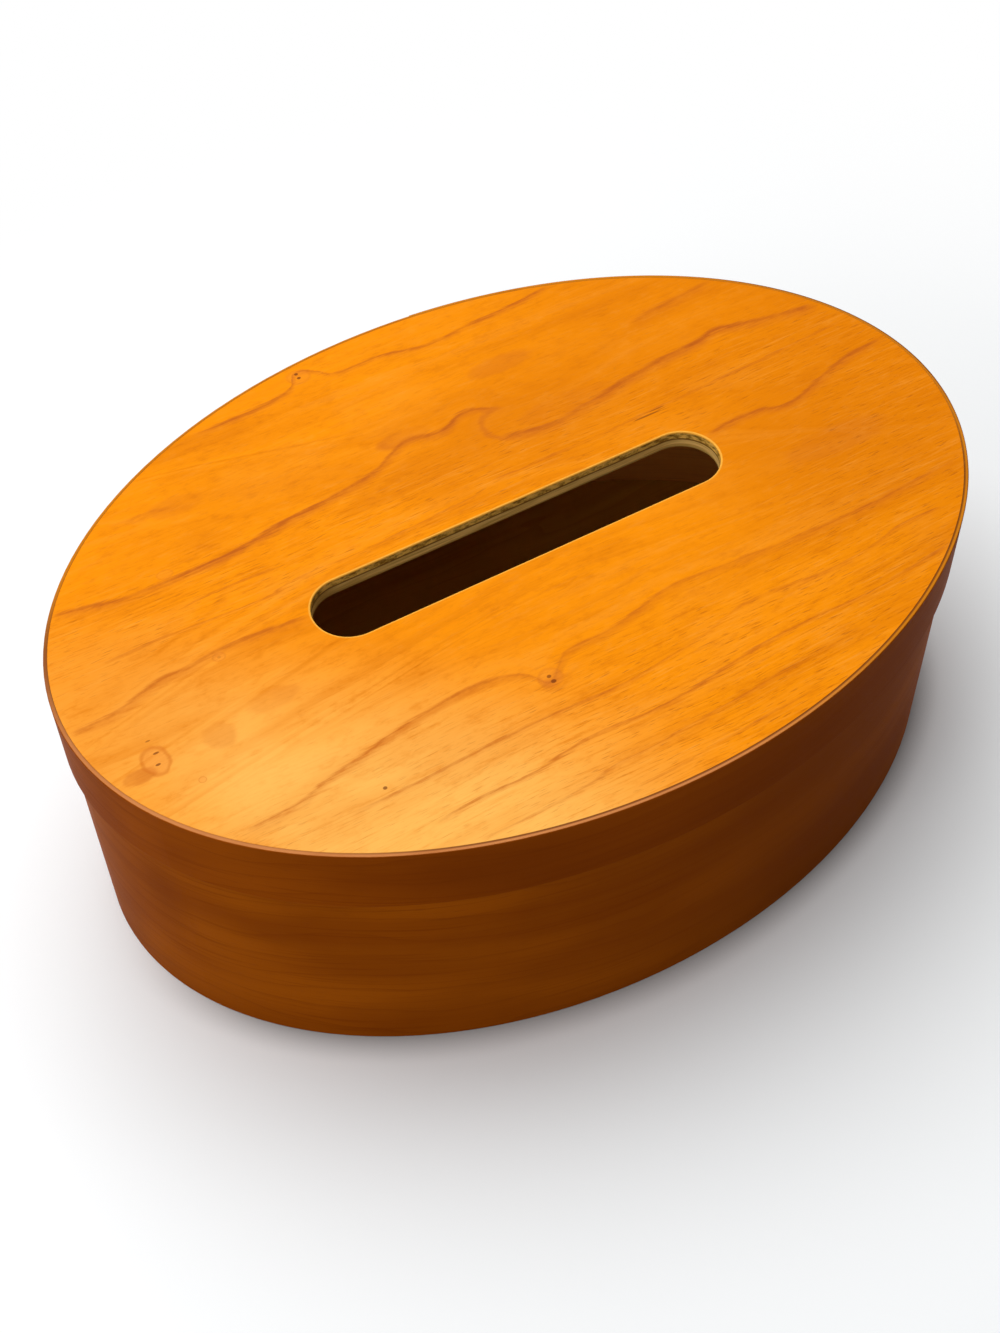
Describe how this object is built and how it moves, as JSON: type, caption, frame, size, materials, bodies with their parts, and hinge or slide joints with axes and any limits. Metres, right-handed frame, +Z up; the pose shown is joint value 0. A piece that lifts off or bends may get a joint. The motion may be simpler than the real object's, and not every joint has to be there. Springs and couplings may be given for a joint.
{
  "type": "oval shaker box",
  "caption": "Oval bent-wood shaker box with a lift-off lid; the flush plywood top has a long rounded slot for drawing tissues.",
  "frame": {"origin": "centre of the oval on the face that the box rests on", "axes": "+X along the oval's length, +Y across it towards the lapped ends of the bands at the back, +Z up"},
  "size_m": [0.305, 0.213, 0.1045],
  "materials": {
    "cherry_band": "satin oiled bent cherry, grain along the band",
    "cherry_veneer": "satin oiled cherry veneer",
    "ply_core": "raw sawn plywood core",
    "copper_tack": "dull hammered copper"
  },
  "bodies": {
    "body": {"body_band": "cherry_band", "body_tacks": "copper_tack", "bottom_outer_veneer": "cherry_veneer", "bottom_lower_ply": "ply_core", "bottom_upper_ply": "ply_core", "bottom_inner_veneer": "cherry_veneer"},
    "lid": {"lid_band": "cherry_band", "lid_tacks": "copper_tack", "lid_face_veneer": "cherry_veneer", "lid_upper_ply": "ply_core", "lid_lower_ply": "ply_core", "lid_back_veneer": "cherry_veneer"}
  },
  "joints": [
    {"name": "lid_lift", "type": "slide", "parent": "body", "child": "lid", "axis": [0, 0, 1], "range_m": [0, 0.08]}
  ]
}
